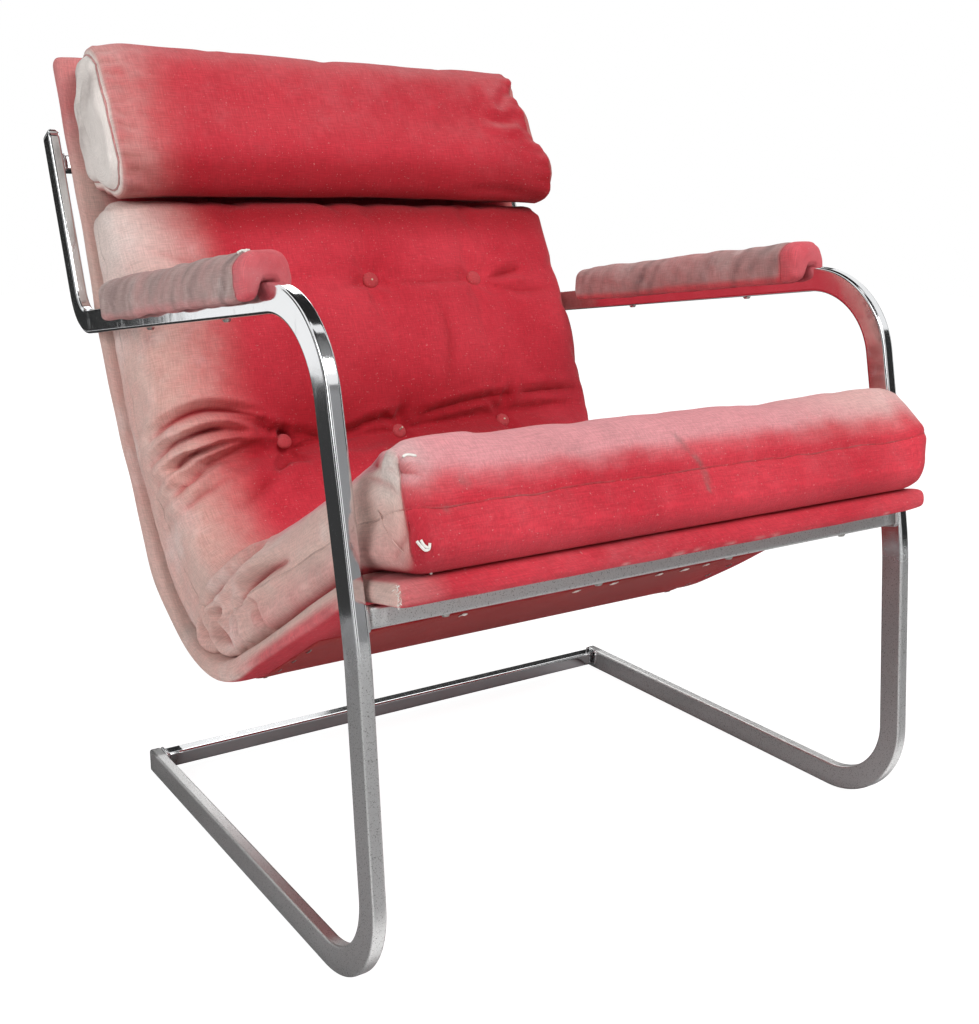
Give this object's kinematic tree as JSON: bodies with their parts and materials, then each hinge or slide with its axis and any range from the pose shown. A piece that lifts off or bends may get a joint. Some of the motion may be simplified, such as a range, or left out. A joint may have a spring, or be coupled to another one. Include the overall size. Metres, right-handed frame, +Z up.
{
  "type": "upholstered cantilever lounge chair",
  "caption": "Low cantilever lounge chair: bent flat tube side frames joined by crossbars, an upholstered bent shell with a long tufted cushion and head roll, and padded arm rests.",
  "frame": {"origin": "on the floor plane, under the middle of the bounding box", "axes": "+X to the sitter's left, +Y to the back of the chair, +Z up; the chair faces -Y and is symmetric about X = 0; left and right in node names are as seen from the front, left on the -X side"},
  "size_m": [0.6694, 0.8042, 0.7881],
  "materials": {
    "chrome_tube": "plated steel tube, bright above, dull and pitted low down",
    "black_plastic": "moulded, satin",
    "steel_fixings": "zinc plated",
    "plywood": "bare bent plywood",
    "red_canvas": "fine canvas weave, faded along edges",
    "faded_canvas": "canvas over thin padding, worn",
    "dark_red_backing": "smooth backing cloth",
    "arm_canvas": "soiled canvas over padding",
    "foam": "foam block",
    "twine": "waxed twine"
  },
  "bodies": {
    "root": {"side_frame_left": "chrome_tube", "side_frame_right": "chrome_tube", "floor_crossbar": "chrome_tube", "seat_crossbar": "chrome_tube", "back_crossbar": "chrome_tube", "seat_bar_screw_1": "steel_fixings", "seat_bar_screw_2": "steel_fixings", "seat_bar_screw_3": "steel_fixings", "seat_bar_screw_4": "steel_fixings", "back_bar_screw_1": "steel_fixings", "back_bar_screw_2": "steel_fixings", "back_bar_screw_3": "steel_fixings", "back_bar_screw_4": "steel_fixings", "runner_plug_left": "black_plastic", "upright_plug_left": "chrome_tube", "runner_plug_right": "black_plastic", "upright_plug_right": "chrome_tube", "shell_board": "plywood", "shell_wrap": "faded_canvas", "shell_back_panel": "dark_red_backing", "lounge_cushion": "red_canvas", "lounge_cushion_core": "foam", "tuft_button_1": "red_canvas", "tuft_button_2": "red_canvas", "tuft_button_3": "red_canvas", "tuft_button_4": "red_canvas", "tuft_button_5": "red_canvas", "tuft_button_6": "red_canvas", "tuft_tie_1": "twine", "tuft_tie_2": "twine", "tuft_tie_3": "twine", "tuft_tie_4": "twine", "tuft_tie_5": "twine", "tuft_tie_6": "twine", "tuft_washer_1": "steel_fixings", "tuft_washer_2": "steel_fixings", "tuft_washer_3": "steel_fixings", "tuft_washer_4": "steel_fixings", "tuft_washer_5": "steel_fixings", "tuft_washer_6": "steel_fixings", "head_roll": "red_canvas", "head_roll_core": "foam", "arm_pad_left": "arm_canvas", "arm_board_left": "plywood", "arm_pad_screw_left_1": "steel_fixings", "arm_pad_screw_left_2": "steel_fixings", "arm_pad_right": "arm_canvas", "arm_board_right": "plywood", "arm_pad_screw_right_1": "steel_fixings", "arm_pad_screw_right_2": "steel_fixings"}
  },
  "joints": []
}
